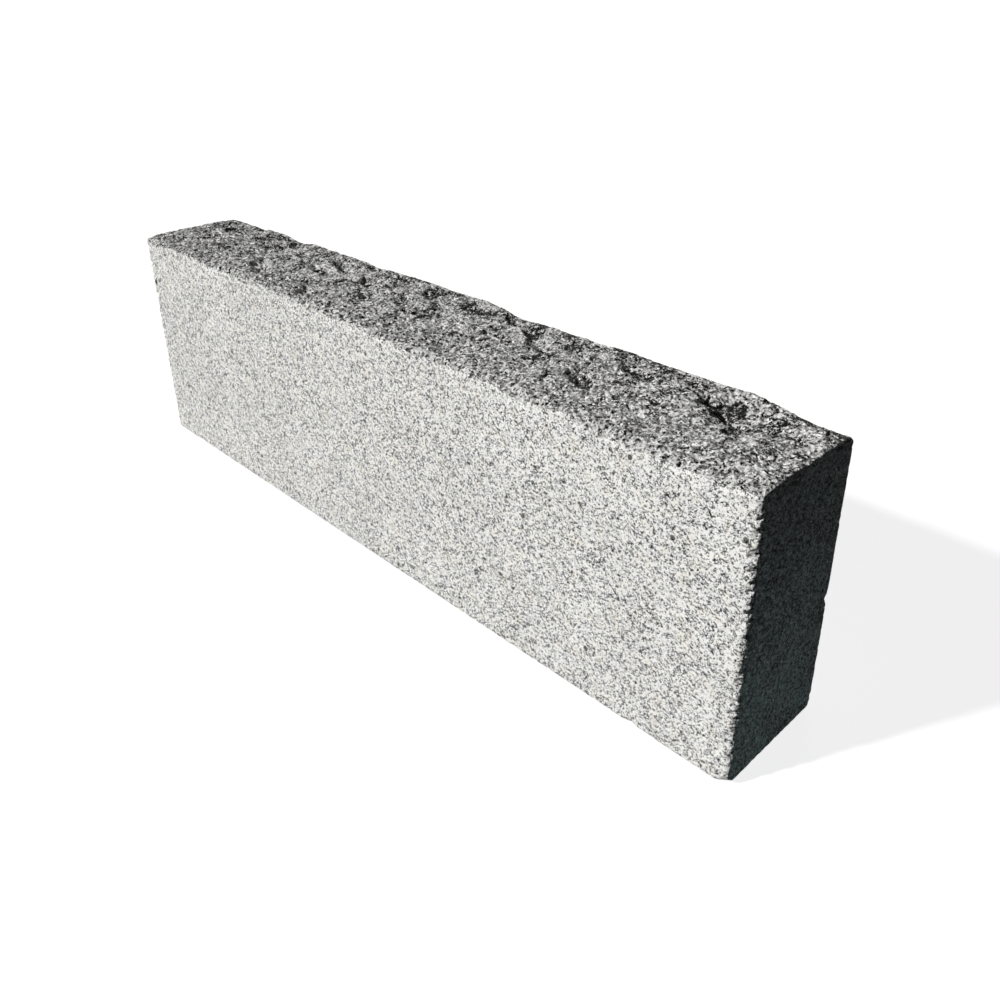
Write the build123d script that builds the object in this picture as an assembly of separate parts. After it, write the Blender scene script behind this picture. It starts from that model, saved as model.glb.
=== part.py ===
from build123d import *
import math
import os

# Granite kerb stone, one block. Millimetres, +Z up, origin at the middle of the bed.
# X runs along the kerb, and the face towards the road looks to -Y.

# Block, to the mean of its split top
LENGTH = 1000.0
WIDTH = 142.0
HEIGHT = 297.0
# Width of the broken edge between two flat faces
ARRIS = 1.5

# Split top: how far its front and back edges stand above the mean,
# at even steps from the left end to the right end
FRONT_RISE = (
    -3.0, -2.0, 0.0, -1.5, -1.5, -2.5, 1.0, 0.5, -0.5, 0.0, -0.5,
    -1.5, -3.0, 0.5, -1.5, -4.0, -0.5, -2.5, -4.0, -4.0, -3.0,
)
BACK_RISE = (
    -1.0, -1.0, 1.5, 3.0, 3.5, 1.5, 2.0, 3.0, 2.0, 4.5, 3.0,
    5.0, 1.0, 0.0, 2.5, 2.0, 1.0, 1.5, 4.5, -4.0, -7.0,
)
# How far in from an edge its own rise reaches
EDGE_BAND = 45.0
# Swells of the middle, each with its rise, its wavelength,
# its heading from +X in degrees and its phase in degrees
SWELLS = (
    (1.2, 430.0, 24.0, 205.0),
    (1.0, 205.0, -33.0, 80.0),
    (0.9, 128.0, 61.0, 300.0),
    (0.7, 92.0, -12.0, 150.0),
)
# Hollow where the split ran deeper: how far its middle is from the right end and from
# the back, its heading from +X in degrees, its half length, its half width and its depth
HOLLOW_FROM_END = 80.0
HOLLOW_FROM_BACK = 33.0
HOLLOW_HEADING = -18.0
HOLLOW_HALF_LENGTH = 85.0
HOLLOW_HALF_WIDTH = 33.0
HOLLOW_DEPTH = 10.0
# Bites that the split tore out of the top: place from the middle of the length and from the back,
# half length, half width, depth, and heading from +X in degrees
BITES = (
    (-446.0, 37.0, 17.0, 9.0, 5.5, -60.0),
    (-420.0, 8.0, 16.0, 10.0, 4.0, -10.0),
    (-317.0, 13.0, 34.0, 16.0, 7.0, -12.0),
    (-258.0, 103.0, 36.0, 14.0, 6.5, -32.0),
    (-173.0, 35.0, 32.0, 11.0, 6.0, -20.0),
    (-185.0, 64.0, 26.0, 9.0, 5.0, -12.0),
    (-103.0, 52.0, 30.0, 13.0, 5.5, -38.0),
    (-142.0, 8.0, 24.0, 10.0, 5.0, -10.0),
    (-140.0, 117.0, 20.0, 9.0, 5.0, -50.0),
    (-19.0, 22.0, 26.0, 11.0, 6.0, -40.0),
    (-24.0, 58.0, 26.0, 13.0, 5.0, -25.0),
    (101.0, 111.0, 18.0, 11.0, 5.0, -25.0),
    (118.0, 12.0, 24.0, 14.0, 6.5, -12.0),
    (163.0, 36.0, 46.0, 10.0, 6.0, -29.0),
    (186.0, 6.0, 18.0, 9.0, 4.5, -10.0),
    (225.0, 10.0, 20.0, 12.0, 6.0, -20.0),
    (267.0, 84.0, 36.0, 10.0, 6.0, -30.0),
    (298.0, 38.0, 24.0, 10.0, 5.0, -15.0),
    (341.0, 14.0, 16.0, 9.0, 4.5, -35.0),
    (350.0, 107.0, 18.0, 10.0, 4.5, -25.0),
    (407.0, 43.0, 36.0, 12.0, 6.0, -20.0),
    (430.0, 72.0, 20.0, 11.0, 6.0, -50.0),
    (468.0, 3.0, 13.0, 12.0, 4.0, 0.0),
)
# How high the middle of the egg that hollows a bite stands over it, in depths of the bite
EGG_RISE = 3.0
# Spacing of the points that the split top is drawn through, and how near to them it passes
SPLIT_PITCH_X = 20.0
SPLIT_PITCH_Y = 10.0
SPLIT_TOLERANCE = 0.5

# Corners broken away: end, side and level of the corner, the way the break faces, its depth
LEFT, RIGHT = -1, 1
FRONT, BACK = -1, 1
TOP, BED = 1, 0
SPALLS = (
    (LEFT, FRONT, TOP, (-1.0, -1.0, 1.0), 3.0),
    (LEFT, BACK, TOP, (-1.0, 1.0, 0.8), 4.0),
    (RIGHT, BACK, TOP, (1.0, 0.8, 1.0), 7.0),
    (RIGHT, FRONT, TOP, (1.0, -0.6, 0.9), 3.0),
    (RIGHT, FRONT, BED, (0.8, -1.0, -1.2), 7.0),
    (RIGHT, BACK, BED, (0.5, 1.0, -0.3), 4.0),
    (LEFT, BACK, BED, (-1.0, 0.7, -0.8), 3.0),
)
# Radius of the hollow that a broken corner leaves
SPALL_RADIUS = 120.0
# Flakes pitched off the front edge of the top: place from the middle of the length, depth,
# then the way they all face and the radius of the hollow that they leave
FLAKES = ((-478.0, 4.0), (-233.0, 5.0), (-97.0, 3.5), (25.0, 3.5), (243.0, 3.5), (340.0, 5.0), (372.0, 4.5))
FLAKE_FACING = (0.0, -0.7, 1.0)
FLAKE_RADIUS = 45.0


def edge_rise(rises, x):
    """Rise of an edge of the split top at a place along it, eased from step to step."""
    last = len(rises) - 1
    place = min(max((x / LENGTH + 0.5) * last, 0.0), float(last))
    step = min(int(place), last - 1)
    ease = 0.5 - 0.5 * math.cos(math.pi * (place - step))
    return rises[step] + (rises[step + 1] - rises[step]) * ease


def hollow_depth(x, y):
    """Depth of the hollow at one point of the split top."""
    turn = math.radians(HOLLOW_HEADING)
    off_x = x - (LENGTH / 2 - HOLLOW_FROM_END)
    off_y = y - (WIDTH / 2 - HOLLOW_FROM_BACK)
    along = off_x * math.cos(turn) + off_y * math.sin(turn)
    across = off_y * math.cos(turn) - off_x * math.sin(turn)
    out = (along / HOLLOW_HALF_LENGTH) ** 2 + (across / HOLLOW_HALF_WIDTH) ** 2
    return HOLLOW_DEPTH * max(0.0, 1.0 - out) ** 2


def split_height(x, y):
    """Height of the split top above the bed at one point."""
    swell = 0.0
    for rise, wavelength, heading, phase in SWELLS:
        turn = math.radians(heading)
        along = x * math.cos(turn) + y * math.sin(turn)
        swell += rise * math.sin(2 * math.pi * along / wavelength + math.radians(phase))
    inset = max(0.0, WIDTH / 2 - abs(y))
    nearness = max(0.0, 1.0 - inset / EDGE_BAND) ** 2
    rises = FRONT_RISE if y < 0 else BACK_RISE
    level = swell * (1.0 - nearness) + edge_rise(rises, x) * nearness
    return HEIGHT + level - hollow_depth(x, y)


def spaced(half_span, pitch):
    """Even steps of about one pitch from end to end, and one step beyond each end."""
    steps = max(2, round(2 * half_span / pitch))
    step = 2 * half_span / steps
    return [-half_span + step * i for i in range(-1, steps + 2)]


def squared_block(height):
    """The block with its upright and bed edges broken."""
    block = Box(LENGTH, WIDTH, height, align=(Align.CENTER, Align.CENTER, Align.MIN))
    upright = block.edges().filter_by(Axis.Z)
    around_bed = block.edges().group_by(Axis.Z)[0]
    return chamfer(upright + around_bed, ARRIS)


def waste_above_split(thickness):
    """What comes away when the block is split: all that lies above the rough face."""
    rows = [
        [Vector(x, y, split_height(x, y)) for y in spaced(WIDTH / 2, SPLIT_PITCH_Y)]
        for x in spaced(LENGTH / 2, SPLIT_PITCH_X)
    ]
    rough_face = Face.make_surface_from_array_of_points(rows, tol=SPLIT_TOLERANCE)
    return extrude(rough_face, amount=thickness, dir=(0, 0, 1))


def broken_away(corner, facing, depth, radius):
    """The ball that hollows a corner or an edge out to a depth, on the side the break faces."""
    outward = Vector(*facing).normalized()
    return Pos(corner + outward * (radius - depth)) * Sphere(radius)


def spall(end, side, level, facing, depth):
    """What a broken corner of the block has lost."""
    corner = Vector(end * LENGTH / 2, side * WIDTH / 2, level * HEIGHT)
    return broken_away(corner, facing, depth, SPALL_RADIUS)


def flake(middle, depth):
    """What was pitched off the front edge of the top."""
    edge = Vector(middle, FRONT * WIDTH / 2, split_height(middle, FRONT * WIDTH / 2))
    return broken_away(edge, FLAKE_FACING, depth, FLAKE_RADIUS)


def bite(middle, from_back, half_length, half_width, depth, heading):
    """The egg whose tip hollows a bite out of the split top."""
    across = WIDTH / 2 - from_back
    rise = EGG_RISE * depth
    half_height = rise + depth
    # The egg is widest at its middle, and as wide as the bite where it meets the split
    widening = 1 / math.sqrt(1 - (rise / half_height) ** 2)
    egg = scale(Sphere(1), by=(half_length * widening, half_width * widening, half_height))
    return Pos(middle, across, split_height(middle, across) + rise) * Rot(0, 0, heading) * egg


# The block starts above the highest point of the split, and the split takes the rest off
swell_rise = sum(swell[0] for swell in SWELLS)
highest = swell_rise + max(FRONT_RISE + BACK_RISE)
deepest = swell_rise - min(FRONT_RISE + BACK_RISE) + HOLLOW_DEPTH
kerb_stone = squared_block(HEIGHT + highest)
kerb_stone -= waste_above_split(2 * highest + deepest)
for row in BITES:
    kerb_stone -= bite(*row)
for row in SPALLS:
    kerb_stone -= spall(*row)
for row in FLAKES:
    kerb_stone -= flake(*row)

os.makedirs("parts", exist_ok=True)
export_step(kerb_stone, "parts/kerb_stone.step")
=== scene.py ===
import math

import bpy
import numpy as np
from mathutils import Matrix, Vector


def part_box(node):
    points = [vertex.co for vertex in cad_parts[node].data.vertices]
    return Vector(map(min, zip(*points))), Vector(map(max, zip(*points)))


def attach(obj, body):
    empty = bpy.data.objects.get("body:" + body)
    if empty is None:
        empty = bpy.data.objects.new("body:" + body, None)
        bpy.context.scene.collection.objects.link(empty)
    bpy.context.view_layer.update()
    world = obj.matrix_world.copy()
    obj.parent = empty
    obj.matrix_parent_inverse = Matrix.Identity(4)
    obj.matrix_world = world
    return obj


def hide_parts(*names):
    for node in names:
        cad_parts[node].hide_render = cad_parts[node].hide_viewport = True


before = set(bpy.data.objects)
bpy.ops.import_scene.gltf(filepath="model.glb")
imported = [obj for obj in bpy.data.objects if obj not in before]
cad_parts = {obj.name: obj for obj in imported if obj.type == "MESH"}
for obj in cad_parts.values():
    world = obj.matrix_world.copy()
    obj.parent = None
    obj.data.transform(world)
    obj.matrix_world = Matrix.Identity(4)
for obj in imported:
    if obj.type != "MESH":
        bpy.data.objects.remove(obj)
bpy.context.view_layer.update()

# A granite kerb stone: flat bush-hammered faces, a rough split top, chipped edges.
# Metres, in the frame of the solid that it dresses.
MM = 0.001
low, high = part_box("kerb_stone")

# Camera, from the lines of the stone's own edges
IMAGE_SIZE = 1000
FOCAL_PIXELS = 931
AXIS_PIXEL = (530, 415.5)
CAMERA_PLACE = (0.7889, -0.6061, 0.6459)
CAMERA_AZIMUTH = 44.64
CAMERA_ELEVATION = 26.06

# Stone mesh
VOXEL = 1.25 * MM
TRIANGLES = 196000
# Back edge of the split top: steps along it, how far in from the back a point counts as on it,
# how far along it its waves are evened out, and how far in from the back that reaches
CREST_STEP = 2 * MM
CREST_EDGE = 4 * MM
CREST_EASE = 15 * MM
CREST_BAND = 28 * MM
# Downwards, the evening out is whole for this share of that reach, and fades over one more reach
CREST_WHOLE = 0.5
# Space between the faces where they are laid out for the finish
MAP_GAP = 5 * MM
# How far a face looks up to count as split top, and along the stone to count as end: not yet, wholly
FACING_UP = (0.45, 0.75)
FACING_END = (0.7, 0.9)
# Share of the split from which a face is laid out with the top
TOP_SHARE = 0.7
# How often the split's height is averaged with its neighbours, to find what lies low
SMOOTHING_STEPS = 250
# How many times wider than deep the fall of a worn edge and of a scallop is
EDGE_SPREAD = 1.6
SCALLOP_SPREAD = 3.0

# Sizes of the dressing. Heights, drifts and the patches' depth are full swings of a noise that
# seldom reaches its ends. A facet's slope along X or Y is at most half its lean. End Roughness
# is a share of the split top's roughness.
DRESSING = {
    "Half Length": high.x,
    "Half Width": high.y,
    "Split Level": high.z - 4 * MM,
    "Reach": 30 * MM,
    "Edge Wear": 0.1 * MM,
    "Crumb Size": 6 * MM,
    "Crumb Depth": 3.4 * MM,
    "Chip Size": 45 * MM,
    "Chip Depth": 3.0 * MM,
    "Swell Size": 110 * MM,
    "Swell Depth": 0.6 * MM,
    "Wave Size": 40 * MM,
    "Wave Height": 5 * MM,
    "Ragged Size": 10 * MM,
    "Ragged Drift": 8 * MM,
    "Facet Size": 20 * MM,
    "Facet Lean": 0.3,
    "Grit Size": 6 * MM,
    "Grit Height": 7 * MM,
    "Calm Edge": 14 * MM,
    "Patch Size": 24 * MM,
    "Patch Depth": 22 * MM,
    "Plain Front Band": 12 * MM,
    "Full Darkening From Front": 70 * MM,
    "Back Darkening": 2.2 * MM,
    "Back Reach": 50 * MM,
    "End Roughness": 1.5,
    "Torn Size": 14 * MM,
    "Torn Drift": 17 * MM,
    "Scallop Size": 40 * MM,
    "Least Scallop": 1.2 * MM,
    "Scallop Depth": 5 * MM,
}

# Granite finish. A pair is for the hammered long faces and for the split top, and the ends are
# finished as the top is, with darker painted shade in their pits.
# Grains: size, then weight in the tone on the hammered faces and on the split top
GRAINS = ((3.2 * MM, 0.20, 0.30), (1.8 * MM, 0.40, 0.50), (0.9 * MM, 0.40, 0.20))
GRAIN_WAVER_SIZE = 2.0 * MM
GRAIN_WAVER = 1.3 * MM
CLUMP_SIZE = 9 * MM
CLUMP_TONE = 0.13
TONE_CONTRAST = (1.5, 2.6)
MIDDLE_TONE = (0.55, 0.82)
# Colours of the minerals from dark to pale, each with its place on the scale of tones
MINERALS = (
    (0.07, "#1e1f1f"),
    (0.20, "#3e3f3f"),
    (0.31, "#7a7b7a"),
    (0.43, "#b8b8b6"),
    (0.54, "#dedddb"),
    (0.67, "#f0efec"),
)
# Proud and sunk parts of the split, painted paler and darker as light and shade: the height that
# counts, and how far it moves the tone
PROUD_HEIGHT = 4 * MM
PROUD_TONE = 0.16
CLOUD_SIZE = 70 * MM
PIT_SIZE = 4.2 * MM
PIT_FLOOR = (1.0, 0.6)
# Painted shade in the hollows of the split, and random dark patches: the deepest that counts, how
# much pits and grains break its border up, the depths where it begins and is full, and what light it leaves
DEEPEST_SHADE_AND_PATCHES = 3.8 * MM
SHADE_BORDER_BY_PITS = 16 * MM
SHADE_BORDER_BY_GRAINS = 9 * MM
SHADE_AND_PATCH_DEPTHS = (0.5 * MM, 2.7 * MM)
DARKEST_SHADE_AND_PATCHES = 0.06
FLAKE_SPACING = 14 * MM
FLAKE_RADIUS = 2.6 * MM
FLAKE_SHADE = 0.18
STAIN_SIZE = 18 * MM
STAIN_COLOUR = "#fefcf6"
RELIEF_DEPTH = (0.6 * MM, 3.0 * MM)
CRYSTAL_SIZE = 2.4 * MM
CRYSTAL_LEAN = (0.0, 2.8)


def linear(colour):
    """An sRGB hex colour as linear red, green, blue and alpha."""
    parts = [int(colour[i:i + 2], 16) / 255 for i in (1, 3, 5)]
    curve = [p / 12.92 if p <= 0.04045 else ((p + 0.055) / 1.055) ** 2.4 for p in parts]
    return (*curve, 1.0)


def add(tree, kind, links=None, **settings):
    """One node with its settings, and its inputs by name or number: a constant, a node or an output."""
    node = tree.nodes.new(kind)
    for name, value in settings.items():
        setattr(node, name, value)
    for name, value in (links or {}).items():
        if isinstance(value, bpy.types.Node):
            value = value.outputs[0]
        if isinstance(value, bpy.types.NodeSocket):
            tree.links.new(value, node.inputs[name])
        else:
            node.inputs[name].default_value = value
    return node


def edge_fall_group():
    """How far a worn edge has fallen away at a distance in from it: deepest on the edge itself."""
    tree = bpy.data.node_groups.new("edge_fall", "GeometryNodeTree")
    for name in ("Depth", "Distance", "Spread"):
        tree.interface.new_socket(name, in_out="INPUT", socket_type="NodeSocketFloat")
    tree.interface.new_socket("Fall", in_out="OUTPUT", socket_type="NodeSocketFloat")
    given = add(tree, "NodeGroupInput")
    width = add(tree, "ShaderNodeMath", {0: given.outputs["Depth"], 1: given.outputs["Spread"]},
                operation="MULTIPLY")
    share = add(tree, "ShaderNodeMath", {0: given.outputs["Distance"], 1: width}, operation="DIVIDE")
    nearness = add(tree, "ShaderNodeMath", {0: 1.0, 1: share}, operation="SUBTRACT", use_clamp=True)
    curve = add(tree, "ShaderNodeMath", {0: nearness, 1: 2.0}, operation="POWER")
    fall = add(tree, "ShaderNodeMath", {0: curve, 1: given.outputs["Depth"]}, operation="MULTIPLY")
    add(tree, "NodeGroupOutput", {"Fall": fall})
    return tree


def dressing_tree():
    """Splits the top into leaning facets and chips the edges of a plain block of stone."""
    tree = bpy.data.node_groups.new("split_and_chipped_stone", "GeometryNodeTree")
    tree.interface.new_socket("Geometry", in_out="INPUT", socket_type="NodeSocketGeometry")
    for name in DRESSING:
        tree.interface.new_socket(name, in_out="INPUT", socket_type="NodeSocketFloat")
    tree.interface.new_socket("Material", in_out="INPUT", socket_type="NodeSocketMaterial")
    tree.interface.new_socket("Geometry", in_out="OUTPUT", socket_type="NodeSocketGeometry")
    given = add(tree, "NodeGroupInput").outputs
    scale = {
        name: add(tree, "ShaderNodeMath", {0: 1.0, 1: given[name + " Size"]}, operation="DIVIDE")
        for name in ("Crumb", "Chip", "Swell", "Wave", "Ragged", "Facet", "Grit", "Patch", "Torn", "Scallop")
    }
    place = add(tree, "GeometryNodeInputPosition")
    x, y, z = add(tree, "ShaderNodeSeparateXYZ", {0: place}).outputs

    # How far each point lies in from the ends, the long faces and the top
    across_x = add(tree, "ShaderNodeMath", {0: x}, operation="ABSOLUTE")
    across_y = add(tree, "ShaderNodeMath", {0: y}, operation="ABSOLUTE")
    to_end = add(tree, "ShaderNodeMath", {0: given["Half Length"], 1: across_x}, operation="SUBTRACT")
    to_side = add(tree, "ShaderNodeMath", {0: given["Half Width"], 1: across_y}, operation="SUBTRACT")
    to_top = add(tree, "ShaderNodeMath", {0: given["Split Level"], 1: z}, operation="SUBTRACT")
    near_end, near_side, near_bed, near_top = (
        add(tree, "ShaderNodeMapRange",
            {"Value": distance, "From Max": given["Reach"], "To Min": 1.0, "To Max": 0.0},
            interpolation_type="SMOOTHSTEP")
        for distance in (to_end, to_side, z, to_top)
    )
    end_edges = add(tree, "ShaderNodeMath", {0: to_side, 1: z}, operation="MINIMUM")
    side_edges = add(tree, "ShaderNodeMath", {0: to_end, 1: z}, operation="MINIMUM")
    flat_edges = add(tree, "ShaderNodeMath", {0: to_end, 1: to_side}, operation="MINIMUM")

    # Edges of the flat faces: worn all along, crumbled grain by grain, chipped here and there
    fall_tree = edge_fall_group()
    crumbs = add(tree, "ShaderNodeTexNoise", {"Vector": place, "Scale": scale["Crumb"], "Detail": 2.0})
    crumb_depth = add(tree, "ShaderNodeMapRange", {
        "Value": crumbs, "From Min": 0.38, "From Max": 0.68, "To Max": given["Crumb Depth"]})
    chips = add(tree, "ShaderNodeTexNoise", {"Vector": place, "Scale": scale["Chip"], "Detail": 2.0})
    chip_depth = add(tree, "ShaderNodeMapRange", {
        "Value": chips, "From Min": 0.60, "From Max": 0.78, "To Max": given["Chip Depth"]})
    worn = add(tree, "ShaderNodeMath", {0: crumb_depth, 1: given["Edge Wear"]}, operation="ADD")
    # The edges of the bed and of the back are less crumbled
    to_back = add(tree, "ShaderNodeMath", {0: given["Half Width"], 1: y}, operation="SUBTRACT")
    for distance in (z, to_back):
        spared = add(tree, "ShaderNodeMapRange", {
            "Value": distance, "From Max": given["Reach"], "To Min": 0.35, "To Max": 1.0})
        worn = add(tree, "ShaderNodeMath", {0: worn, 1: spared}, operation="MULTIPLY")
    edge_depth = add(tree, "ShaderNodeMath", {0: worn, 1: chip_depth}, operation="ADD")
    end_fall, side_fall, bed_fall = (
        add(tree, "GeometryNodeGroup",
            {"Depth": edge_depth, "Distance": distance, "Spread": EDGE_SPREAD}, node_tree=fall_tree)
        for distance in (end_edges, side_edges, flat_edges)
    )

    # Long, faint swells of the flat faces
    swell = add(tree, "ShaderNodeTexNoise", {"Vector": place, "Scale": scale["Swell"], "Detail": 2.0})
    hollow = add(tree, "ShaderNodeMath", {0: swell, 1: given["Swell Depth"]}, operation="MULTIPLY")
    end_depth = add(tree, "ShaderNodeMath", {0: end_fall, 1: hollow}, operation="ADD")
    side_depth = add(tree, "ShaderNodeMath", {0: side_fall, 1: hollow}, operation="ADD")

    # Split top: waves, leaning facets with ragged borders, grit, scallops along the edge
    level = add(tree, "ShaderNodeCombineXYZ", {0: x, 1: y})
    waves = add(tree, "ShaderNodeTexNoise", {"Vector": level, "Scale": scale["Wave"], "Detail": 2.0})
    wave_rise = add(tree, "ShaderNodeMath", {0: waves, 1: 0.5}, operation="SUBTRACT")
    relief = add(tree, "ShaderNodeMath", {0: wave_rise, 1: given["Wave Height"]}, operation="MULTIPLY")
    # The relief is calmer along the ends and the back
    calm_edges = add(tree, "ShaderNodeMath", {0: to_end, 1: to_back}, operation="MINIMUM")
    calm = add(tree, "ShaderNodeMapRange", {
        "Value": calm_edges, "From Max": given["Calm Edge"], "To Min": 0.25, "To Max": 1.0})
    ragged = add(tree, "ShaderNodeTexNoise", {"Vector": level, "Scale": scale["Ragged"], "Detail": 2.0})
    drift = add(tree, "ShaderNodeVectorMath", {0: ragged.outputs["Color"], 1: (0.5, 0.5, 0.5)},
                operation="SUBTRACT")
    drift = add(tree, "ShaderNodeVectorMath", {0: drift, "Scale": given["Ragged Drift"]}, operation="SCALE")
    drift = add(tree, "ShaderNodeVectorMath", {0: drift, 1: (1.0, 1.0, 0.0), 2: level},
                operation="MULTIPLY_ADD")
    cells = add(tree, "ShaderNodeTexVoronoi", {"Vector": drift, "Scale": scale["Facet"], "Smoothness": 0.25},
                feature="SMOOTH_F1")
    tilt = add(tree, "ShaderNodeVectorMath", {0: cells.outputs["Color"], 1: (0.5, 0.5, 0.5)},
               operation="SUBTRACT")
    arm = add(tree, "ShaderNodeVectorMath", {0: drift, 1: cells.outputs["Position"]}, operation="SUBTRACT")
    rise = add(tree, "ShaderNodeVectorMath", {0: tilt, 1: arm}, operation="DOT_PRODUCT").outputs["Value"]
    relief = add(tree, "ShaderNodeMath", {0: rise, 1: given["Facet Lean"], 2: relief},
                 operation="MULTIPLY_ADD")
    grit = add(tree, "ShaderNodeTexNoise",
               {"Vector": drift, "Scale": scale["Grit"], "Detail": 2.0, "Roughness": 0.65})
    grit_rise = add(tree, "ShaderNodeMath", {0: grit, 1: 0.5}, operation="SUBTRACT")
    relief = add(tree, "ShaderNodeMath", {0: grit_rise, 1: given["Grit Height"], 2: relief},
                 operation="MULTIPLY_ADD")
    relief = add(tree, "ShaderNodeMath", {0: relief, 1: calm}, operation="MULTIPLY")
    scallops = add(tree, "ShaderNodeTexNoise", {"Vector": level, "Scale": scale["Scallop"], "Detail": 3.0})
    scallop_depth = add(tree, "ShaderNodeMapRange", {
        "Value": scallops, "From Min": 0.38, "From Max": 0.7,
        "To Min": given["Least Scallop"], "To Max": given["Scallop Depth"]})
    # The back edge and the ends broke cleaner than the front edge
    clean = add(tree, "ShaderNodeMapRange", {
        "Value": calm_edges, "From Max": given["Reach"], "To Min": 0.2, "To Max": 1.0})
    scallop_depth = add(tree, "ShaderNodeMath", {0: scallop_depth, 1: clean}, operation="MULTIPLY")
    top_fall = add(tree, "GeometryNodeGroup",
                   {"Depth": scallop_depth, "Distance": flat_edges, "Spread": SCALLOP_SPREAD},
                   node_tree=fall_tree)
    top_rise = add(tree, "ShaderNodeMath", {0: relief, 1: top_fall}, operation="SUBTRACT")

    # Each face moves along its own axis, and less and less further in
    end_sign = add(tree, "ShaderNodeMath", {0: x}, operation="SIGN")
    side_sign = add(tree, "ShaderNodeMath", {0: y}, operation="SIGN")
    end_in = add(tree, "ShaderNodeMath", {0: end_depth, 1: near_end}, operation="MULTIPLY")
    side_in = add(tree, "ShaderNodeMath", {0: side_depth, 1: near_side}, operation="MULTIPLY")
    bed_in = add(tree, "ShaderNodeMath", {0: bed_fall, 1: near_bed}, operation="MULTIPLY")
    move_x = add(tree, "ShaderNodeMath", {0: end_in, 1: end_sign}, operation="MULTIPLY")
    move_y = add(tree, "ShaderNodeMath", {0: side_in, 1: side_sign}, operation="MULTIPLY")
    move_z = add(tree, "ShaderNodeMath", {0: top_rise, 1: near_top, 2: bed_in},
                 operation="MULTIPLY_ADD")
    inward = add(tree, "ShaderNodeCombineXYZ", {0: move_x, 1: move_y})
    # The bites have torn borders, so inside its edges the top drifts to and fro
    torn = add(tree, "ShaderNodeTexNoise", {"Vector": level, "Scale": scale["Torn"], "Detail": 1.0})
    torn = add(tree, "ShaderNodeVectorMath", {0: torn.outputs["Color"], 1: (0.5, 0.5, 0.5)},
               operation="SUBTRACT")
    within = add(tree, "ShaderNodeMapRange", {
        "Value": flat_edges, "From Max": given["Reach"], "To Max": given["Torn Drift"]})
    within = add(tree, "ShaderNodeMath", {0: within, 1: near_top}, operation="MULTIPLY")
    torn = add(tree, "ShaderNodeVectorMath", {0: torn, "Scale": within}, operation="SCALE")
    inward = add(tree, "ShaderNodeVectorMath", {0: torn, 1: (1.0, 1.0, 0.0), 2: inward},
                 operation="MULTIPLY_ADD")
    upward = add(tree, "ShaderNodeCombineXYZ", {2: move_z})
    move = add(tree, "ShaderNodeVectorMath", {0: upward, 1: inward}, operation="SUBTRACT")

    # The split face and the ends are marked for the finish before they move
    facing = add(tree, "GeometryNodeInputNormal")
    facing_up = add(tree, "ShaderNodeSeparateXYZ", {0: facing}).outputs["Z"]
    split = add(tree, "ShaderNodeMapRange",
                {"Value": facing_up, "From Min": FACING_UP[0], "From Max": FACING_UP[1]})
    # The ends are rougher than the long faces
    facing_end = add(tree, "ShaderNodeSeparateXYZ", {0: facing}).outputs["X"]
    facing_end = add(tree, "ShaderNodeMath", {0: facing_end}, operation="ABSOLUTE")
    rough_end = add(tree, "ShaderNodeMapRange", {
        "Value": facing_end, "From Min": FACING_END[0], "From Max": FACING_END[1],
        "To Max": given["End Roughness"]})
    rough = add(tree, "ShaderNodeMath", {0: split, 1: rough_end}, operation="MAXIMUM")
    marked = given["Geometry"]
    for name, value in (("split", split), ("rough", rough)):
        marked = add(tree, "GeometryNodeStoreNamedAttribute",
                     {"Geometry": marked, "Name": name, "Value": value},
                     data_type="FLOAT", domain="POINT")
    dressed = add(tree, "GeometryNodeSetPosition", {"Geometry": marked, "Offset": move})
    # How far each point of the split face lies below the split face around it, also for the finish
    height = add(tree, "ShaderNodeSeparateXYZ", {0: place}).outputs["Z"]
    on_split = add(tree, "GeometryNodeInputNamedAttribute", {"Name": "split"}, data_type="FLOAT")
    weighed = add(tree, "ShaderNodeMath", {0: height, 1: on_split}, operation="MULTIPLY")
    both = add(tree, "ShaderNodeCombineXYZ", {0: weighed, 1: on_split})
    blurred = add(tree, "GeometryNodeBlurAttribute", {"Iterations": SMOOTHING_STEPS},
                  data_type="FLOAT_VECTOR")
    # Of this node's sockets, only the one for the chosen kind of value is in use
    tree.links.new(both.outputs[0], next(s for s in blurred.inputs if s.enabled and s.name == "Value"))
    soft = next(s for s in blurred.outputs if s.enabled)
    heights, weights, _ = add(tree, "ShaderNodeSeparateXYZ", {0: soft}).outputs
    around = add(tree, "ShaderNodeMath", {0: heights, 1: weights}, operation="DIVIDE")
    below = add(tree, "ShaderNodeMath", {0: around, 1: height}, operation="SUBTRACT")
    # Painted shade where the split lies low, and random dark patches on it and on the ends
    sunk = add(tree, "ShaderNodeMath", {0: below, 1: on_split}, operation="MULTIPLY")
    patches = add(tree, "ShaderNodeTexNoise",
                  {"Vector": place, "Scale": scale["Patch"], "Detail": 3.0, "Roughness": 0.6})
    patches = add(tree, "ShaderNodeMath", {0: patches, 1: 0.5}, operation="SUBTRACT")
    on_rough = add(tree, "GeometryNodeInputNamedAttribute", {"Name": "rough"}, data_type="FLOAT")
    patches = add(tree, "ShaderNodeMath", {0: patches, 1: on_rough}, operation="MULTIPLY")
    sunk = add(tree, "ShaderNodeMath", {0: patches, 1: given["Patch Depth"], 2: sunk},
               operation="MULTIPLY_ADD")
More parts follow.
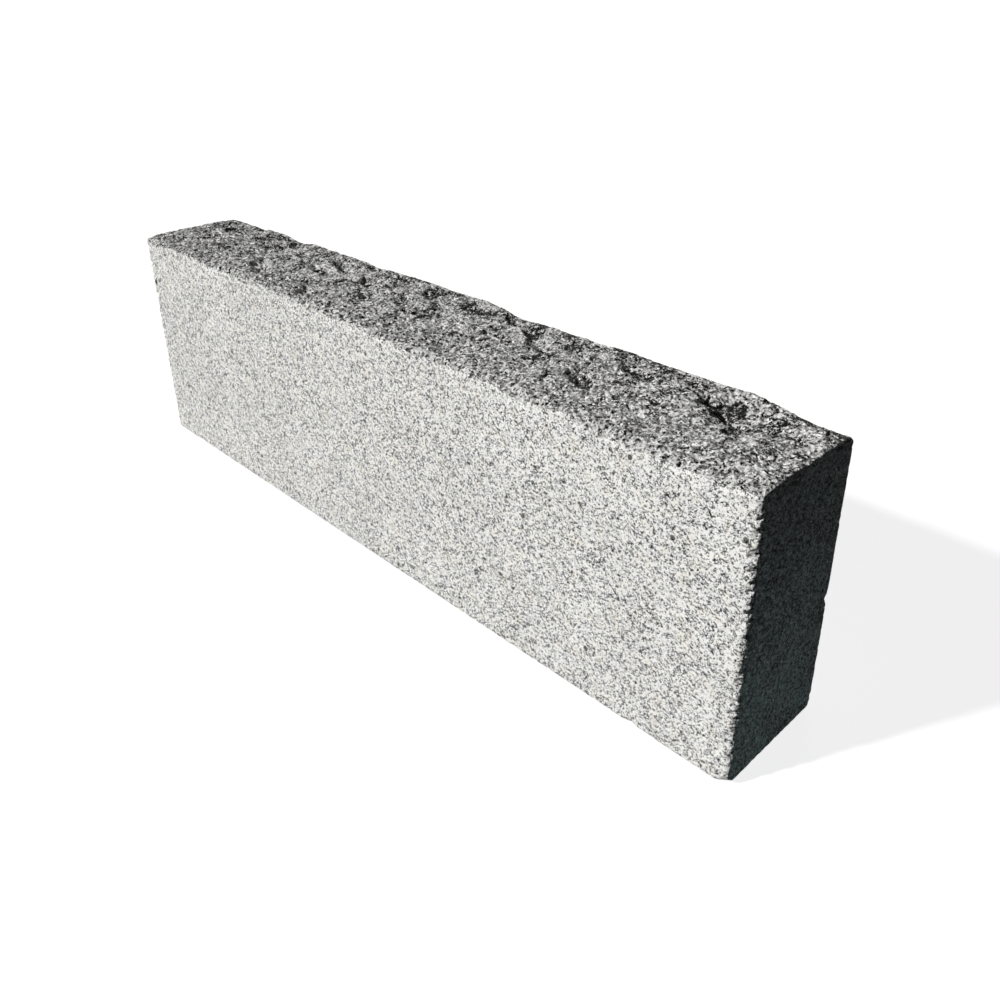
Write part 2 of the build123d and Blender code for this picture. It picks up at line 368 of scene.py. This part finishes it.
    # The split is darker along the back edge, and all this darkening fades out near the front edge
    back_darkening = add(tree, "ShaderNodeMapRange", {
        "Value": to_back, "From Max": given["Back Reach"], "To Min": given["Back Darkening"], "To Max": 0.0})
    sunk = add(tree, "ShaderNodeMath", {0: back_darkening, 1: on_split, 2: sunk}, operation="MULTIPLY_ADD")
    to_front = add(tree, "ShaderNodeMath", {0: given["Half Width"], 1: y}, operation="ADD")
    darkening_share = add(tree, "ShaderNodeMapRange", {
        "Value": to_front, "From Min": given["Plain Front Band"], "From Max": given["Full Darkening From Front"]})
    sunk = add(tree, "ShaderNodeMath", {0: sunk, 1: darkening_share}, operation="MULTIPLY")
    dressed = add(tree, "GeometryNodeStoreNamedAttribute",
                  {"Geometry": dressed, "Name": "sunk", "Value": sunk}, data_type="FLOAT", domain="POINT")
    whole = add(tree, "GeometryNodeRealizeInstances", {"Geometry": dressed})
    finished = add(tree, "GeometryNodeSetMaterial", {"Geometry": whole, "Material": given["Material"]})
    add(tree, "NodeGroupOutput", {"Geometry": finished})
    return tree


def granite_material():
    """Grey granite, bush-hammered on its long faces, rough on its ends and split on top.

    Pale feldspar and grey quartz grains of a few millimetres with flakes of black mica: salt and pepper
    to the eye, dull all over, rougher where the stone was split, with painted shade in its pits and hollows.
    """
    material = bpy.data.materials.new("grey_granite_bush_hammered")
    material.use_nodes = True
    tree = material.node_tree
    tree.nodes.clear()
    place = add(tree, "ShaderNodeTexCoord").outputs["Object"]

    # Grains of three sizes with wavering borders, weighed together into one tone
    waver = add(tree, "ShaderNodeTexNoise", {"Vector": place, "Scale": 1 / GRAIN_WAVER_SIZE, "Detail": 2.0})
    shift = add(tree, "ShaderNodeVectorMath", {0: waver.outputs["Color"], 1: (0.5, 0.5, 0.5)},
                operation="SUBTRACT")
    bent = add(tree, "ShaderNodeVectorMath", {0: shift, 1: (GRAIN_WAVER,) * 3, 2: place},
               operation="MULTIPLY_ADD")
    clumps = add(tree, "ShaderNodeTexNoise", {"Vector": place, "Scale": 1 / CLUMP_SIZE, "Detail": 2.0})
    tone = add(tree, "ShaderNodeMapRange", {"Value": clumps, "To Min": -CLUMP_TONE, "To Max": CLUMP_TONE})
    rough = add(tree, "ShaderNodeAttribute", attribute_name="rough").outputs["Fac"]
    for size, weight, split_weight in GRAINS:
        grains = add(tree, "ShaderNodeTexVoronoi", {"Vector": bent, "Scale": 1 / size})
        kind, lift, _ = add(tree, "ShaderNodeSeparateColor", {0: grains.outputs["Color"]}).outputs
        share = add(tree, "ShaderNodeMapRange",
                    {"Value": rough, "To Min": weight, "To Max": split_weight})
        tone = add(tree, "ShaderNodeMath", {0: kind, 1: share, 2: tone}, operation="MULTIPLY_ADD")
    # Black and white grains stand out more where the stone is rough; on the split, part of that contrast
    # is painted light and shade, standing in for low light across the top
    contrast, middle = (
        add(tree, "ShaderNodeMapRange", {"Value": rough, "To Min": hammered, "To Max": split})
        for hammered, split in (TONE_CONTRAST, MIDDLE_TONE)
    )
    # Painted light and shade: the proud parts of the split are paler than its hollows, and its random
    # patches move the tone too
    sunk = add(tree, "ShaderNodeAttribute", attribute_name="sunk").outputs["Fac"]
    proud = add(tree, "ShaderNodeMapRange", {
        "Value": sunk, "From Min": -PROUD_HEIGHT, "From Max": PROUD_HEIGHT,
        "To Min": PROUD_TONE, "To Max": -PROUD_TONE})
    middle = add(tree, "ShaderNodeMath", {0: middle, 1: proud}, operation="ADD")
    away = add(tree, "ShaderNodeMath", {0: tone, 1: 0.5}, operation="SUBTRACT")
    seen_tone = add(tree, "ShaderNodeMath", {0: away, 1: contrast, 2: middle}, operation="MULTIPLY_ADD")
    minerals = add(tree, "ShaderNodeValToRGB", {0: seen_tone})
    ramp = minerals.color_ramp.elements
    while len(ramp) < len(MINERALS):
        ramp.new(1.0)
    for element, (at, colour) in zip(ramp, MINERALS):
        element.position = at
        element.color = linear(colour)
    # Broad faint clouds over the stone
    clouds = add(tree, "ShaderNodeTexNoise", {"Vector": place, "Scale": 1 / CLOUD_SIZE, "Detail": 3.0})
    cloud_shade = add(tree, "ShaderNodeMapRange",
                      {"Value": clouds, "From Min": 0.3, "From Max": 0.7, "To Min": 0.96, "To Max": 1.05})

    # Pits between the grains, with painted shade inside where the stone is rough, darkest on the ends
    pits = add(tree, "ShaderNodeTexNoise",
               {"Vector": place, "Scale": 1 / PIT_SIZE, "Detail": 4.0, "Roughness": 0.7})
    pit_floor = add(tree, "ShaderNodeMapRange",
                    {"Value": rough, "To Min": PIT_FLOOR[0], "To Max": PIT_FLOOR[1]}, clamp=False)
    pit_shade = add(tree, "ShaderNodeMapRange",
                    {"Value": pits, "From Min": 0.40, "From Max": 0.52, "To Min": pit_floor, "To Max": 1.0})
    shade = add(tree, "ShaderNodeMath", {0: cloud_shade, 1: pit_shade}, operation="MULTIPLY")
    # Painted shade in the hollows of the split top, and random dark patches, with a ragged border
    sunk = add(tree, "ShaderNodeMath", {0: sunk, 1: DEEPEST_SHADE_AND_PATCHES}, operation="MINIMUM")
    uneven = add(tree, "ShaderNodeMath", {0: pits, 1: 0.5}, operation="SUBTRACT")
    uneven = add(tree, "ShaderNodeMath", {0: uneven, 1: SHADE_BORDER_BY_PITS}, operation="MULTIPLY")
    uneven = add(tree, "ShaderNodeMath", {0: away, 1: SHADE_BORDER_BY_GRAINS, 2: uneven}, operation="MULTIPLY_ADD")
    uneven = add(tree, "ShaderNodeMath", {0: uneven, 1: rough}, operation="MULTIPLY")
    shade_and_patch_depth = add(tree, "ShaderNodeMath", {0: sunk, 1: uneven}, operation="SUBTRACT")
    painted_shade_and_patches = add(tree, "ShaderNodeMapRange", {
        "Value": shade_and_patch_depth, "From Min": SHADE_AND_PATCH_DEPTHS[0], "From Max": SHADE_AND_PATCH_DEPTHS[1],
        "To Min": 1.0, "To Max": DARKEST_SHADE_AND_PATCHES})
    shade = add(tree, "ShaderNodeMath", {0: shade, 1: painted_shade_and_patches}, operation="MULTIPLY")
    # Lone larger flakes of mica, in fewer than one place of ten
    flakes = add(tree, "ShaderNodeTexVoronoi", {"Vector": bent, "Scale": 1 / FLAKE_SPACING})
    chance = add(tree, "ShaderNodeSeparateColor", {0: flakes.outputs["Color"]}).outputs[2]
    flake_size = add(tree, "ShaderNodeMapRange", {
        "Value": chance, "From Min": 0.91, "From Max": 0.95, "To Min": 0.0, "To Max": FLAKE_RADIUS})
    from_middle = add(tree, "ShaderNodeMath", {0: flakes.outputs["Distance"], 1: FLAKE_SPACING},
                      operation="MULTIPLY")
    outside = add(tree, "ShaderNodeMath", {0: from_middle, 1: flake_size}, operation="GREATER_THAN")
    flake_shade = add(tree, "ShaderNodeMapRange",
                      {"Value": outside, "To Min": FLAKE_SHADE, "To Max": 1.0})
    shade = add(tree, "ShaderNodeMath", {0: shade, 1: flake_shade}, operation="MULTIPLY")
    colour = add(tree, "ShaderNodeVectorMath", {0: minerals, "Scale": shade}, operation="SCALE")
    # Faint warm stains on the hammered faces
    stains = add(tree, "ShaderNodeTexNoise", {"Vector": place, "Scale": 1 / STAIN_SIZE, "Detail": 3.0})
    most_stain = add(tree, "ShaderNodeMapRange", {"Value": rough, "To Min": 1.0, "To Max": 0.0})
    stain = add(tree, "ShaderNodeMapRange",
                {"Value": stains, "From Min": 0.48, "From Max": 0.7, "To Max": most_stain})
    colour = add(tree, "ShaderNodeMix", {0: stain, 6: colour, 7: linear(STAIN_COLOUR)},
                 data_type="RGBA", blend_type="MULTIPLY").outputs[2]

    # Relief: the pits, and the finest grains that stand proud or lie low, more so on the split
    grain_rise = add(tree, "ShaderNodeMath", {0: lift, 1: 0.25, 2: pits}, operation="MULTIPLY_ADD")
    depth = add(tree, "ShaderNodeMapRange",
                {"Value": rough, "To Min": RELIEF_DEPTH[0], "To Max": RELIEF_DEPTH[1]})
    height = add(tree, "ShaderNodeMath", {0: grain_rise, 1: depth}, operation="MULTIPLY")
    # Broken crystals of the split and of the ends lean each its own way
    crystals = add(tree, "ShaderNodeTexVoronoi", {"Vector": bent, "Scale": 1 / CRYSTAL_SIZE})
    tilt = add(tree, "ShaderNodeVectorMath", {0: crystals.outputs["Color"], 1: (0.5, 0.5, 0.5)},
               operation="SUBTRACT")
    arm = add(tree, "ShaderNodeVectorMath", {0: bent, 1: crystals.outputs["Position"]}, operation="SUBTRACT")
    facet = add(tree, "ShaderNodeVectorMath", {0: tilt, 1: arm}, operation="DOT_PRODUCT").outputs["Value"]
    lean = add(tree, "ShaderNodeMapRange",
               {"Value": rough, "To Min": CRYSTAL_LEAN[0], "To Max": CRYSTAL_LEAN[1]})
    height = add(tree, "ShaderNodeMath", {0: facet, 1: lean, 2: height}, operation="MULTIPLY_ADD")
    bump = add(tree, "ShaderNodeBump", {"Height": height, "Distance": 1.0, "Strength": 1.0})

    # Mica and quartz shine a little more than feldspar
    roughness = add(tree, "ShaderNodeMapRange", {"Value": tone, "To Min": 0.62, "To Max": 0.85})
    surface = add(tree, "ShaderNodeBsdfPrincipled",
                  {"Base Color": colour, "Roughness": roughness, "IOR": 1.54, "Specular IOR Level": 0.05,
                   "Normal": bump})
    add(tree, "ShaderNodeOutputMaterial", {"Surface": surface})
    return material


def plain_mesh(obj, name):
    """The evaluated object as a plain mesh of its own."""
    depsgraph = bpy.context.evaluated_depsgraph_get()
    mesh = bpy.data.meshes.new_from_object(obj.evaluated_get(depsgraph))
    mesh.name = name
    return mesh


def in_scene(name, mesh):
    """A new object in the scene with a mesh."""
    obj = bpy.data.objects.new(name, mesh)
    bpy.context.scene.collection.objects.link(obj)
    return obj


def merged_copy(obj):
    """A copy of a solid's mesh with its loose triangles joined."""
    mesh = obj.data.copy()
    mesh.materials.clear()
    blank = in_scene("merged", mesh)
    weld = blank.modifiers.new("weld", "WELD")
    weld.merge_threshold = 0.01 * MM
    joined = plain_mesh(blank, "merged")
    bpy.data.objects.remove(blank)
    return joined


def lay_out(mesh):
    """A map of the stone with its six faces side by side, flat and all at one scale."""
    corner_of = np.empty(len(mesh.loops), dtype=np.int32)
    mesh.loops.foreach_get("vertex_index", corner_of)
    place = np.empty(len(mesh.vertices) * 3, dtype=np.float32)
    mesh.vertices.foreach_get("co", place)
    split = np.empty(len(mesh.vertices), dtype=np.float32)
    mesh.attributes["split"].data.foreach_get("value", split)
    corners = place.reshape(-1, 3)[corner_of].reshape(-1, 3, 3)
    facing = np.cross(corners[:, 1] - corners[:, 0], corners[:, 2] - corners[:, 0])
    front, back, left, right, bed, top = range(6)
    sides = (-facing[:, 1], facing[:, 1], -facing[:, 0], facing[:, 0], -facing[:, 2])
    face = np.stack(sides, axis=1).argmax(axis=1)
    face[split[corner_of].reshape(-1, 3).mean(axis=1) > TOP_SHARE] = top
    # Rows of the map: each face with the ways that run across and up it
    x, y, z = np.eye(3, dtype=np.float32)
    rows = (
        ((front, x, z),),
        ((back, -x, z),),
        ((top, x, y),),
        ((bed, -x, y),),
        ((left, z, y), (right, z, -y)),
    )
    spots = np.empty((len(corners), 3, 2), dtype=np.float32)
    sheet_width, row_foot = 0.0, MAP_GAP
    for row in rows:
        row_height, face_left = 0.0, MAP_GAP
        for number, across, up in row:
            flat = np.stack((corners[face == number] @ across, corners[face == number] @ up), axis=-1)
            flat -= flat.min(axis=(0, 1))
            spots[face == number] = flat + np.array((face_left, row_foot), dtype=np.float32)
            wide, tall = flat.max(axis=(0, 1))
            face_left += wide + MAP_GAP
            row_height = max(row_height, tall)
        sheet_width = max(sheet_width, face_left)
        row_foot += row_height + MAP_GAP
    spots /= max(sheet_width, row_foot)
    mesh.uv_layers.new(name="OFBake").data.foreach_set("uv", spots.ravel())


def ease_crest(mesh):
    """Evens out the back edge of the split top, which broke in long soft waves."""
    place = np.empty(len(mesh.vertices) * 3, dtype=np.float32)
    mesh.vertices.foreach_get("co", place)
    x, y, z = place.reshape(-1, 3).T
    steps = np.arange(low.x, high.x, CREST_STEP) + CREST_STEP / 2
    step = np.clip((x - low.x) / CREST_STEP, 0, len(steps) - 1).astype(int)
    on_crest = y > high.y - CREST_EDGE
    crest = np.zeros(len(steps))
    np.maximum.at(crest, step[on_crest], z[on_crest])
    reach = int(2 * CREST_EASE / CREST_STEP)
    weights = np.exp(-(np.arange(-reach, reach + 1) * CREST_STEP / CREST_EASE) ** 2)
    eased = np.convolve(np.pad(crest, reach, mode="edge"), weights / weights.sum(), mode="valid")
    lift = np.interp(x, steps, eased - crest)
    below = np.interp(x, steps, crest) - z
    from_back = np.clip(1 - (high.y - y) / CREST_BAND, 0, 1)
    from_crest = np.clip(1 + CREST_WHOLE - below / CREST_BAND, 0, 1)
    z += lift * (from_back * from_crest)
    mesh.vertices.foreach_set("co", place)


def stone_piece():
    """The stone: the solid's own block, remeshed finely, split and chipped, then thinned."""
    stone = in_scene("fine_block", merged_copy(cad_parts["kerb_stone"]))
    remesh = stone.modifiers.new("fine", "REMESH")
    remesh.mode = "VOXEL"
    remesh.voxel_size = VOXEL
    block = plain_mesh(stone, "fine_block")
    bpy.data.objects.remove(stone)
    ease_crest(block)
    stone = in_scene("rough_stone", block)
    dressing = stone.modifiers.new("dressing", "NODES")
    dressing.node_group = dressing_tree()
    values = {**DRESSING, "Material": granite_material()}
    for socket in dressing.node_group.interface.items_tree:
        if socket.in_out == "INPUT" and socket.name in values:
            dressing[socket.identifier] = values[socket.name]
    fine = plain_mesh(stone, "fine_stone")
    bpy.data.objects.remove(stone)

    stone = in_scene("thinned_stone", fine)
    fine.calc_loop_triangles()
    thin = stone.modifiers.new("thin", "DECIMATE")
    thin.ratio = min(1.0, TRIANGLES / len(fine.loop_triangles))
    thin.use_collapse_triangulate = True
    mesh = plain_mesh(stone, "granite_kerb")
    bpy.data.objects.remove(stone)
    lay_out(mesh)
    mesh.shade_smooth()
    return in_scene("granite_kerb", mesh)


def floor():
    """A pale floor that shows white to the camera and keeps a soft shadow."""
    half = 40.0
    corners = [(-half, -half, 0), (half, -half, 0), (half, half, 0), (-half, half, 0)]
    mesh = bpy.data.meshes.new("floor")
    mesh.from_pydata(corners, [], [(0, 1, 2, 3)])
    material = bpy.data.materials.new("matt_floor_paint")
    material.use_nodes = True
    tree = material.node_tree
    tree.nodes.clear()
    rays = add(tree, "ShaderNodeLightPath").outputs
    seen = add(tree, "ShaderNodeMath", {0: rays["Is Camera Ray"], 1: rays["Is Glossy Ray"]},
               operation="MAXIMUM")
    seen = add(tree, "ShaderNodeMath", {0: seen, 1: rays["Is Transmission Ray"]}, operation="MAXIMUM")
    shaded = add(tree, "ShaderNodeBsdfDiffuse", {"Color": linear("#909090")})
    bright = add(tree, "ShaderNodeEmission", {"Color": linear("#ffffff"), "Strength": 0.84})
    shown = add(tree, "ShaderNodeAddShader", {0: shaded, 1: bright})
    paint = add(tree, "ShaderNodeBsdfDiffuse", {"Color": linear("#181b1b")})
    both = add(tree, "ShaderNodeMixShader", {0: seen, 1: paint, 2: shown})
    add(tree, "ShaderNodeOutputMaterial", {"Surface": both})
    mesh.materials.append(material)
    plane = in_scene("floor", mesh)


def sun(name, towards, strength, softness):
    """A far lamp that shines along a direction, softened by an angle in degrees."""
    lamp = bpy.data.lights.new(name, "SUN")
    lamp.energy = strength
    lamp.angle = math.radians(softness)
    obj = bpy.data.objects.new(name, lamp)
    obj.rotation_mode = "QUATERNION"
    obj.rotation_quaternion = Vector(towards).to_track_quat("-Z", "Y")
    bpy.context.scene.collection.objects.link(obj)


def low_lamp():
    """A small cool lamp near the floor at the right, which lifts the foot of the shaded end."""
    lamp = bpy.data.lights.new("low_right", "AREA")
    lamp.shape = "RECTANGLE"
    lamp.size, lamp.size_y = 0.2, 0.06
    lamp.energy = 0.056
    lamp.color = linear("#c0e6ea")[:3]
    obj = bpy.data.objects.new("low_right", lamp)
    obj.location = (0.72, -0.03, 0.03)
    obj.rotation_mode = "QUATERNION"
    obj.rotation_quaternion = Vector((-1.0, 0.0, 0.0)).to_track_quat("-Z", "Y")
    obj.visible_camera = False
    bpy.context.scene.collection.objects.link(obj)


def lights():
    """A key from the front left, a low lamp at the right, a soft faint light from behind, a dim world."""
    sun("key", towards=(0.5, 1.0, -0.75), strength=4.45, softness=3.0)
    low_lamp()
    sun("behind", towards=(0.6, -1.0, -0.3), strength=0.9, softness=30.0)
    world = bpy.data.worlds.new("studio")
    world.use_nodes = True
    tree = world.node_tree
    tree.nodes.clear()
    rays = add(tree, "ShaderNodeLightPath").outputs
    seen = add(tree, "ShaderNodeMath", {0: rays["Is Camera Ray"], 1: rays["Is Glossy Ray"]},
               operation="MAXIMUM")
    seen = add(tree, "ShaderNodeMath", {0: seen, 1: rays["Is Transmission Ray"]}, operation="MAXIMUM")
    white = add(tree, "ShaderNodeBackground", {"Color": linear("#ffffff"), "Strength": 1.0})
    dim = add(tree, "ShaderNodeBackground", {"Color": linear("#a4dce0"), "Strength": 0.001})
    shown = add(tree, "ShaderNodeMixShader", {0: seen, 1: dim, 2: white})
    add(tree, "ShaderNodeOutputWorld", {"Surface": shown})
    bpy.context.scene.world = world


def camera():
    """The view of the stone from its right front, above its top."""
    lens = bpy.data.cameras.new("camera")
    lens.sensor_width = 36.0
    lens.lens = lens.sensor_width * FOCAL_PIXELS / IMAGE_SIZE
    lens.shift_x = 0.5 - AXIS_PIXEL[0] / IMAGE_SIZE
    lens.shift_y = AXIS_PIXEL[1] / IMAGE_SIZE - 0.5
    obj = bpy.data.objects.new("camera", lens)
    azimuth, elevation = math.radians(CAMERA_AZIMUTH), math.radians(CAMERA_ELEVATION)
    ahead = Vector((-math.sin(azimuth) * math.cos(elevation),
                    math.cos(azimuth) * math.cos(elevation),
                    -math.sin(elevation)))
    obj.location = CAMERA_PLACE
    obj.rotation_mode = "QUATERNION"
    obj.rotation_quaternion = ahead.to_track_quat("-Z", "Y")
    bpy.context.scene.collection.objects.link(obj)
    bpy.context.scene.camera = obj


stone = stone_piece()
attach(stone, "root")
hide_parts("kerb_stone")
floor()
lights()
camera()
bpy.context.scene.view_settings.view_transform = "Standard"
